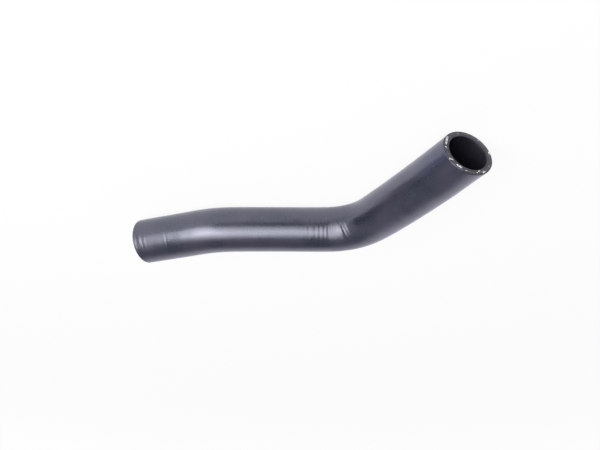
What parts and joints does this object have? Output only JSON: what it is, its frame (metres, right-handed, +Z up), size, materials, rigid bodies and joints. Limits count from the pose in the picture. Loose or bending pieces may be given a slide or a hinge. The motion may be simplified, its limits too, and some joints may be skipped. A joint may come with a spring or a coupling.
{
  "type": "preformed coolant hose",
  "caption": "Preformed rubber coolant hose with a shallow bend and a sharper opposite bend in one plane, open bore right through, plain knife-cut ends for clamping over pipe stubs.",
  "frame": {"origin": "centre of the bounding box's underside, on the surface that the hose lies on", "axes": "+X along the middle leg, from the short end towards the long end, +Z up, square to the plane of the bends"},
  "size_m": [0.296, 0.1616, 0.039],
  "materials": {
    "rubber_cover": "satin dark slate rubber, smooth from the mandrel and cure, with fine crosswise wrinkles at the sharp bend",
    "reinforcing_yarn": "off-white cut yarn ends, which show as flecks in the knife-cut faces"
  },
  "bodies": {
    "root": {"coolant_hose": "rubber_cover"}
  },
  "joints": []
}
